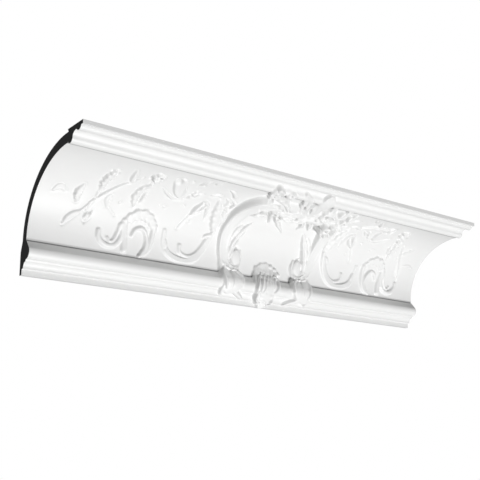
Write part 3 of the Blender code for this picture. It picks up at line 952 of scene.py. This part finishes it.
    def frame_side(self, relief: Relief) -> None:
        """One side of the middle frame: the great scroll, its volute and its foot over the bead.

        Args:
            relief: what it is carved on.
        """
        stroke = relief.stroke
        stroke([(97, -38), (84, -45), (68, -54), (55, -61)], (4, 6, 5, 2), (5, 4, 3, 2), groove=0.3)
        stroke([(110, -30), (115, -44), (114, -55)], (8, 6, 3.5), (4, 2, 1), groove=0.0)
        relief.dome((96, 18), (13, 13), 9, groove=0.0)
        stroke([(106, 32), (103, 62), (97, 90), (90, 104)], (9, 10, 8, 3), (8, 8, 6, 3), groove=0.0)
        stroke([(104, 26), (99, 58), (90, 82), (79, 102), (71, 114)],
               (6, 8.5, 8.5, 6.5, 2), (11, 11, 9, 6, 3), Section.LEAF, 4, 0.14, groove=0.5)
        stroke([(70, 190), (96, 178), (113, 150), (121, 116), (123, 84), (120, 54), (115, 30), (105, 14),
                (92, 7), (78, 13), (69, 32), (73, 50)],
               (18, 18, 17, 16, 15, 13, 11, 9, 7, 5, 3, 2), (20, 20, 17, 13, 10, 9, 9, 10, 10, 9, 7, 5),
               Section.BAND, groove=0.3)
        relief.dome((84, 33), (13, 20), 9, groove=0.2)
        relief.pit((86, 57), (7, 2), 0.3, 4.0)
        stroke([(106, 14), (94, -6), (92, -24), (104, -42)], (12, 25, 22, 10), (3, 6, 6, 4), Section.ROUND,
               groove=0.0)
        stroke([(114, 36), (112, 14), (109, -6)], (11, 12, 11), (8, 7, 6), groove=0.0)
        stroke([(112, 10), (117, -12), (110, -36)], (3, 5, 3), (7, 9, 7), groove=0.3)
        stroke([(98, 8), (95, -10), (96, -34)], (2, 4, 2), (6, 9, 8), groove=0.3)
        stroke([(86, 8), (72, -8), (70, -26)], (3, 5, 3), (6, 9, 7), groove=0.3)

    def shell_foot(self, relief: Relief) -> None:
        """The shell below the frame's bare field, with the boss that hangs under it.

        Args:
            relief: what it is carved on.
        """
        stroke = relief.stroke
        stroke([(-2, 2), (-4, -20), (-8, -44)], (32, 32, 20), (6, 6, 5), Section.ROUND, groove=0.0)
        relief.fan((0, -50), 24, 86, 62, 116, 5, (8, 9, 7, 3), 0.12, groove=0.1)
        for rank in range(3):
            stroke([(-16 + 10 * rank, 8 - 2 * rank), (-26 + 10 * rank, -12), (-33 + 10 * rank, -30),
                    (-27 + 8 * rank, -43)], (2.5, 3, 3, 2), (8, 9, 9, 7), groove=0.3)
        stroke([(14, -34), (24, -22), (26, -6), (18, 2), (12, -6)], (3, 4, 4, 3, 2), (8, 9, 9, 8), groove=0.3)
        for spot in ((13, 26), (25, 21), (34, 11)):
            relief.dome(spot, (7, 6), 6, groove=0.15)
        stroke([(-2, -34), (-5, -52), (-8, -70)], (15, 20, 7), (7, 8, 3), Section.SMOOTH, 3, 0.16, groove=0.2)
        stroke([(-27, -36), (-27, -50), (-17, -60), (-9, -52)], (3, 4, 4, 2), (7, 9, 9, 7), groove=0.3)
        stroke([(12, -40), (17, -52), (9, -64), (-1, -58)], (3, 4, 4, 2), (7, 9, 9, 7), groove=0.3)

    def crest(self, relief: Relief) -> None:
        """The crest over the frame: a rose, a tall smooth leaf, a second flower and the leaves between.

        Args:
            relief: what it is carved on.
        """
        stroke = relief.stroke
        stroke([(-84, 178), (-50, 178), (-10, 174), (30, 172), (72, 174), (114, 164)],
               (14, 20, 24, 25, 24, 16), (13, 14, 13, 13, 13, 11), Section.SMOOTH, groove=0.2)
        for path, widths, heights in (
                ([(-48, 152), (-40, 138), (-34, 124)], (5, 5, 1.5), (13, 8, 4)),
                ([(-34, 150), (-14, 130), (14, 106)], (6, 6, 1.5), (12, 7, 3)),
                ([(36, 154), (47, 138), (44, 122)], (6, 6, 1.5), (13, 9, 4)),
                ([(60, 150), (68, 138), (74, 126)], (6, 6, 2), (12, 8, 4)),
                ([(-101, 140), (-87, 154), (-71, 156), (-59, 146)], (2, 7, 7, 2), (19, 22, 21, 18)),
                ([(4, 188), (-2, 208), (-10, 226), (-24, 238)], (8, 12, 10, 4), (13, 9, 5, 2)),
                ([(62, 174), (72, 196), (70, 222)], (9, 13, 6), (16, 14, 4)),
                ([(88, 178), (106, 200), (116, 222)], (9, 13, 6), (15, 13, 4)),
                ([(124, 168), (140, 190), (146, 212)], (8, 12, 5), (14, 12, 4)),
                ([(-90, 206), (-68, 205), (-46, 192), (-26, 174)], (8, 13, 12, 5), (8, 14, 16, 13)),
                ([(-44, 168), (-18, 166), (8, 174), (27, 190)], (5, 9, 10, 4), (16, 17, 17, 14)),
                ([(-20, 148), (6, 150), (32, 162), (52, 180)], (4, 8, 9, 4), (13, 16, 16, 13))):
            stroke(path, widths, heights, Section.LEAF, 3, 0.16, groove=0.5)
        stroke([(14, 160), (22, 182), (32, 206), (38, 228), (36, 244)],
               (10, 15, 19, 18, 10), (14, 13, 11, 6, 2), Section.SMOOTH, 2, 0.1, groove=0.4)
        relief.rosette((102, 150), 23, 26, petals=5)
        relief.rosette((-92, 226), 17, 8, petals=5, turn=0.4)
        relief.dome((-56, 226), (12, 10), 8)
        relief.dome((-25, 153), (6, 6), 18)
        for spot, radii, tilt in (
                ((-60, 230), (3, 3), 0.0), ((-49, 226), (3, 3), 0.0), ((-62, 160), (6, 12), 0.5),
                ((-50, 146), (4, 4), 0.0), ((-38, 126), (3, 5), 0.0), ((-20, 140), (7, 5), 0.0),
                ((-40, 200), (6, 4), 0.0), ((-88, 202), (6, 3), 0.1), ((1, 199), (4, 7), 0.45),
                ((20, 196), (3, 12), 0.3), ((10, 158), (5, 6), 0.0), ((71, 187), (5, 15), 0.4),
                ((76, 131), (4, 3), 0.0), ((57, 152), (4, 4), 0.5), ((139, 164), (7, 22), 0.58)):
            relief.pit(spot, radii, tilt, 9.0)


@dataclass
class Casting:
    """The moulding's casting, swept along its length and carved.

    Lengths in metres.  grid_cove is how many divisions climb the cove; wing_lift and wing_wall are the wings'
    factor on heights and the width of their sides.  Rings stand fine_step apart within middle_half of the
    pattern's centre, and else coarse_step.  corner is the turn, in radians, that makes an arris; softening is
    how much each height takes from each one beside it; overhang is how far ornament may hang below the lower
    edge.  line_below and line_beyond lengthen the wings' ground line past the cove, and rows_below is how
    many rows under the cove they may cover.  Ornament lower than bare_height, in divisions, and points moved
    less than least_move count as bare; end_facing is how squarely a cut end looks along the casting.
    """

    name: str = "cornice_casting"
    pattern_centre: float = 0.035
    grid_cove: float = 218.0
    wing_lift: float = 0.8
    wing_wall: float = 2.2
    wall_flange: float = 0.042
    middle_half: float = 0.150
    fine_step: float = 0.00135
    coarse_step: float = 0.00180
    block_columns: int = 8
    block_rows: int = 3
    overhang: float = 0.004
    line_below: float = 0.030
    line_beyond: float = 0.020
    rows_below: int = 10
    bare_height: float = 0.05
    least_move: float = 1e-6
    end_facing: float = 0.999
    corner: float = math.radians(12)
    softening: float = 0.14
    ornament: Ornament = field(default_factory=Ornament)

    def __post_init__(self) -> None:
        """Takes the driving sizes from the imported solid."""
        low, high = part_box(NODE)
        self.low_x, self.high_x = low.x, high.x
        self.profile = Profile(high.z - low.z, high.y - low.y, self.wall_flange)
        self.points, self.front, self.cove = self.profile.outline()
        cove = self.profile.cove()
        self.unit = np.hypot(*np.diff(cove, axis=0).T).sum() / self.grid_cove
        self.stations = self.columns()

    def columns(self) -> np.ndarray:
        """Finds where along the length the casting has its rings of points, closer in the middle.

        Returns:
            The places.
        """
        first, last = self.pattern_centre - self.middle_half, self.pattern_centre + self.middle_half
        spans = ((self.low_x, first, self.coarse_step), (first, last, self.fine_step),
                 (last, self.high_x, self.coarse_step))
        made = [np.linspace(a, b, round((b - a) / step), endpoint=False) for a, b, step in spans]
        return np.concatenate(made + [[self.high_x]])

    @staticmethod
    def drawn(name: str, points: np.ndarray, closed: bool) -> bpy.types.Object:
        """Draws a curve, straight between its points.

        Args:
            name: its name.
            points: its points, as (x, y, z).
            closed: whether it returns to the first one.

        Returns:
            The curve's object.
        """
        curve = bpy.data.curves.new(name, "CURVE")
        curve.dimensions = "3D"
        spline = curve.splines.new("POLY")
        spline.points.add(len(points) - 1)
        spline.points.foreach_set("co", np.column_stack([points, np.ones(len(points))]).ravel())
        spline.use_cyclic_u = closed
        return placed(name, curve)

    def swept(self, finish: bpy.types.Material) -> bpy.types.Mesh:
        """Sweeps the outline along the length with a Geometry Nodes tree.

        Args:
            finish: the casting's material.

        Returns:
            A closed mesh whose points run ring by ring from one end to the other.
        """
        out, up = self.points.T
        shape = np.column_stack([out, self.wall_flange / 2 - up, np.zeros(len(out))])
        outline = self.drawn("outline", shape, closed=True)
        run = self.drawn("run", np.outer(self.stations, (1.0, 0.0, 0.0)), closed=False)
        tree = GeometryTree("swept_outline", {"Outline": "NodeSocketObject", "Run": "NodeSocketObject",
                                              "Finish": "NodeSocketMaterial"})
        profile = tree.graph.wire("GeometryNodeObjectInfo", None, {"Object": tree.input("Outline")},
                                  output="Geometry")
        length = tree.graph.wire("GeometryNodeObjectInfo", None, {"Object": tree.input("Run")},
                                 output="Geometry")
        body = tree.graph.wire("GeometryNodeCurveToMesh", None,
                               {"Curve": length, "Profile Curve": profile, "Fill Caps": True})
        tree.end(body, tree.input("Finish"))
        host = placed("host", bpy.data.meshes.new("host"))
        mesh = tree.bake(host, Outline=outline, Run=run, Finish=finish)
        for used in (outline, run, host):
            bpy.data.objects.remove(used)
        return mesh

    def carved(self) -> np.ndarray:
        """Works out how far each point of each ring moves for the carving.

        Returns:
            An array of rings by outline points by 2, as (out, up) in metres.
        """
        place = (self.stations - self.pattern_centre) / self.unit
        moved = np.zeros((len(place), len(self.points), 2))
        self.carve_wings(moved, place)
        self.carve_middle(moved, place)
        moved[..., 1] = np.maximum(moved[..., 1], np.minimum(0.0, -self.overhang - self.points[:, 1]))
        return moved

    def carve_wings(self, moved: np.ndarray, place: np.ndarray) -> None:
        """Carves both wings on the cove.

        Args:
            moved: how far each point moves, which is added to.
            place: how far each ring stands from the pattern's centre, in divisions.
        """
        profile = self.profile
        foot = (profile.cove_out, profile.cove_high - self.line_below)
        lip = (profile.centre[0] + self.line_beyond, profile.cove_high + profile.rise)
        line = Profile.divided(np.vstack([[foot], profile.cove(), [lip]]), profile.row_step / 2)
        ground = Ground.under(self.points[:self.front], line, profile.cove_high, self.unit)
        span = slice(self.cove.start - self.rows_below, self.cove.stop)
        for side, end in ((-1, self.low_x), (1, self.high_x)):
            relief = Relief(side * place, ground.climb[span], ground.stand[span],
                            self.wing_lift, self.wing_wall)
            self.ornament.wing(relief, side * (end - self.pattern_centre) / self.unit)
            if side > 0:
                self.ornament.cut_tip(relief)
            height = self.softened(relief.height) * self.unit
            moved[:, span] += height[..., None] * ground.way[None, span]

    def carve_middle(self, moved: np.ndarray, place: np.ndarray) -> None:
        """Carves the frame with its shell foot and its crest, which take the place of what lies under them.

        The outline's first and last points, at the wall and at the ceiling, stay where they are.

        Args:
            moved: how far each point moves, which is changed.
            place: how far each ring stands from the pattern's centre, in divisions.
        """
        line = self.profile.drape()
        drape = Ground.under(self.points[:self.front], line, self.profile.cove_high, self.unit)
        sides = [Relief(side * place, drape.climb, drape.stand) for side in (-1, 1)]
        for relief in sides:
            self.ornament.frame_side(relief)
        left, right = (relief.height for relief in sides)
        relief = Relief(place, drape.climb, drape.stand)
        relief.height = np.where(np.abs(left) > np.abs(right), left, right)
        self.ornament.shell_foot(relief)
        self.ornament.crest(relief)
        height = self.softened(relief.height)[..., None]
        bold = np.abs(height) > self.bare_height
        bold[:, [0, -1]] = False
        moved[:, :self.front] = np.where(bold, height * self.unit * drape.way, moved[:, :self.front])

    def softened(self, height: np.ndarray) -> np.ndarray:
        """Rounds the carving off, as paint does, by mixing each height with those beside it.

        Args:
            height: the heights.

        Returns:
            The softened heights.
        """
        share = self.softening
        for axis in (0, 1):
            beside = np.roll(height, 1, axis) + np.roll(height, -1, axis)
            height = (1.0 - 2.0 * share) * height + share * beside
        return height

    def plain_edges(self, mesh: bpy.types.Mesh, moved: np.ndarray) -> tuple[np.ndarray, np.ndarray]:
        """Finds the edges that a bare surface doesn't need, and the profile's own arrises.

        Bare faces join into blocks block_columns rings long, and block_rows rows high on the cove, else one.

        Args:
            mesh: the swept mesh, whose points run ring by ring.
            moved: how far its points move.

        Returns:
            A flag for each edge to dissolve, and one for each edge to keep sharp.
        """
        rings, count = moved.shape[:2]
        carved = np.abs(moved).max(2) > self.least_move
        busy = carved
        for axis in (0, 1):
            busy = busy | np.roll(busy, 1, axis) | np.roll(busy, -1, axis)
        row_block = np.arange(count)
        cove = np.arange(self.cove.start, self.cove.stop - 1)
        row_block[cove] = count + (cove - self.cove.start) // self.block_rows
        column_block = np.arange(rings) // self.block_columns
        block = column_block[:, None] * (2 * count) + row_block[None, :]
        crowded = np.zeros(int(block.max()) + 1, bool)
        for cell in (busy, np.roll(busy, -1, 0), np.roll(busy, -1, 1), np.roll(busy, (-1, -1), (0, 1))):
            np.logical_or.at(crowded, block, cell)
        pairs = np.zeros(len(mesh.edges) * 2, np.int64)
        mesh.edges.foreach_get("vertices", pairs)
        first, second = np.sort(pairs.reshape(-1, 2), axis=1).T
        i, j = first // count, first % count
        along = (second - first) == count
        j = np.where(~along & (second - first == count - 1), count - 1, j)
        ring = np.minimum(i, rings - 2)
        here = block[ring, j]
        beside = np.where(along, block[ring, (j - 1) % count], block[np.maximum(i - 1, 0), j])
        inner = along | ((i > 0) & (i < rings - 1))
        dissolved = inner & (here == beside) & ~crowded[here]
        step = np.roll(self.points, -1, 0) - self.points
        heading = np.arctan2(step[:, 1], step[:, 0])
        turn = np.abs((heading - np.roll(heading, 1) + math.pi) % (2 * math.pi) - math.pi)
        arris = along & (turn[j] > self.corner) & ~carved[i, j]
        rim = ~along & ((i == 0) | (i == rings - 1))
        return dissolved, arris | rim

    def build(self, finish: CastingFinish, sawn: SawnFinish) -> bpy.types.Object:
        """Makes the finished casting.

        Args:
            finish: the finish of its face and back.
            sawn: the finish of its two cut ends.

        Returns:
            The piece.
        """
        # The cove's two ends, along which the white finish has its painted shade lines.
        ends = self.profile.cove()[[0, -1]]
        grooves = [(-out, up - self.wall_flange / 2) for out, up in ends]
        white, grey = finish.material(grooves), sawn.material()
        mesh = self.swept(white)
        moved = self.carved()
        shift = np.concatenate([np.zeros(moved.shape[:2] + (1,)), -moved[..., :1], moved[..., 1:]], axis=2)
        way = mesh.attributes.new("carving", "FLOAT_VECTOR", "POINT")
        way.data.foreach_set("vector", shift.astype(np.float32).ravel())
        dissolved, sharp = self.plain_edges(mesh, moved)
        edge = mesh.attributes.get("sharp_edge") or mesh.attributes.new("sharp_edge", "BOOLEAN", "EDGE")
        edge.data.foreach_set("value", sharp)
        piece = placed(self.name, mesh)
        mesh = self.raised(piece, white, grey)
        work = bmesh.new()
        work.from_mesh(mesh)
        work.edges.ensure_lookup_table()
        spare = [work.edges[k] for k in np.flatnonzero(dissolved)]
        bmesh.ops.dissolve_edges(work, edges=spare, use_verts=True, use_face_split=False)
        bmesh.ops.recalc_face_normals(work, faces=work.faces)
        work.to_mesh(mesh)
        work.free()
        mesh.attributes.remove(mesh.attributes["carving"])
        mesh.polygons.foreach_set("use_smooth", np.ones(len(mesh.polygons), bool))
        mesh.name = self.name
        piece.data = mesh
        return piece

    def raised(self, piece: bpy.types.Object, white: bpy.types.Material,
               grey: bpy.types.Material) -> bpy.types.Mesh:
        """Raises the carving with a Geometry Nodes tree, and gives the cut ends their own finish.

        Args:
            piece: the swept casting, with its `carving` attribute.
            white: the face's material.
            grey: the cut ends' material.

        Returns:
            The raised mesh.
        """
        tree = GeometryTree("raised_carving", {"Lift": "NodeSocketFloat", "Finish": "NodeSocketMaterial",
                                               "Sawn": "NodeSocketMaterial"})
        graph = tree.graph
        carving = graph.wire("GeometryNodeInputNamedAttribute", {"data_type": "FLOAT_VECTOR"},
                             {"Name": "carving"})
        offset = graph.wire("ShaderNodeVectorMath", {"operation": "SCALE"},
                            {0: carving, "Scale": tree.input("Lift")})
        moved = graph.wire("GeometryNodeSetPosition", None,
                           {"Geometry": tree.input("Geometry"), "Offset": offset})
        facing = graph.wire("ShaderNodeSeparateXYZ", None, {0: graph.wire("GeometryNodeInputNormal")})
        tree.end(moved, tree.input("Finish"), abs(facing) > self.end_facing, tree.input("Sawn"))
        return tree.bake(piece, Lift=1.0, Finish=white, Sawn=grey)


@dataclass(frozen=True)
class Lamp:
    """A round soft lamp that faces the piece from the direction `way`; size in metres, power in watts."""

    name: str
    way: tuple[float, float, float]
    size: float
    power: float
    distance: float = 4.0

    def build(self) -> None:
        """Makes the lamp, which the camera doesn't see."""
        data = bpy.data.lights.new(self.name, "AREA")
        data.shape = "DISK"
        data.size = self.size
        data.energy = self.power
        made = placed(self.name, data)
        made.location = self.distance * np.array(self.way) / np.linalg.norm(self.way)
        made.rotation_euler = (-made.location).to_track_quat("-Z", "Y").to_euler()
        made.visible_camera = False


@dataclass(frozen=True)
class Studio:
    """A plain pale studio: dim even light, a soft lamp below and in front of the piece, and the camera.

    Lengths in metres but for lens and sensor, in millimetres; tilt and turn in degrees.
    """

    lens: float = 61.575
    sensor: float = 36.0
    eye: tuple[float, float, float] = (-1.0553, -1.3195, -0.3260)
    tilt: float = 103.207
    turn: float = -36.660
    shift: Pair = (0.0482, 0.0498)
    ambient: float = 0.19
    lamps: tuple[Lamp, ...] = (Lamp("key", (0.05, -0.72, -0.69), 1.0, 168.0),)
    floor_drop: float = 3.2
    floor_half: float = 5.0
    floor_tone: Tone = (0.86, 0.86, 0.86, 1.0)
    floor_roughness: float = 0.9

    def camera(self) -> None:
        """Sets the camera at the photograph's angle."""
        data = bpy.data.cameras.new("camera")
        data.lens = self.lens
        data.sensor_width = self.sensor
        data.shift_x, data.shift_y = self.shift
        made = placed("camera", data)
        made.location = self.eye
        made.rotation_euler = (math.radians(self.tilt), 0.0, math.radians(self.turn))
        bpy.context.scene.camera = made

    def world(self) -> None:
        """A white backdrop to the camera, and an even softer light to everything else."""
        world = bpy.data.worlds.new("studio")
        bpy.context.scene.world = world
        world.use_nodes = True
        graph = Graph(world.node_tree)
        seen = graph.wire("ShaderNodeLightPath", output="Is Camera Ray")
        glow = graph.wire("ShaderNodeBackground", None, {"Color": WHITE, "Strength": self.ambient})
        white = graph.wire("ShaderNodeBackground", None, {"Color": WHITE, "Strength": 1.0})
        mixed = graph.wire("ShaderNodeMixShader", None, {0: seen, 1: glow, 2: white})
        graph.node("ShaderNodeOutputWorld", None, {"Surface": mixed})
        bpy.context.scene.view_settings.view_transform = "Standard"

    def floor(self) -> bpy.types.Object:
        """Lays the plain pale floor, well below the piece.

        Returns:
            The floor.
        """
        half, low = self.floor_half, -self.floor_drop
        mesh = bpy.data.meshes.new("floor")
        corners = [(-half, -half, low), (half, -half, low), (half, half, low), (-half, half, low)]
        mesh.from_pydata(corners, [], [(0, 1, 2, 3)])
        material, graph = open_material("floor")
        shader = graph.wire("ShaderNodeBsdfPrincipled", None,
                            {"Base Color": self.floor_tone, "Roughness": self.floor_roughness})
        graph.node("ShaderNodeOutputMaterial", None, {"Surface": shader})
        mesh.materials.append(material)
        return placed("floor", mesh)


def main() -> None:
    """Builds the studio and the casting, and reports each piece."""
    logging.basicConfig(level=logging.INFO, format="%(name)s: %(message)s")
    studio = Studio()
    studio.camera()
    studio.world()
    for lamp in studio.lamps:
        lamp.build()
    studio.floor()
    piece = Casting().build(CastingFinish(), SawnFinish())
    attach(piece, "root")
    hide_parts(NODE)
    triangles = sum(len(face.vertices) - 2 for face in piece.data.polygons)
    log.info("%s: %d triangles", piece.name, triangles)


if __name__ == "__main__":
    main()
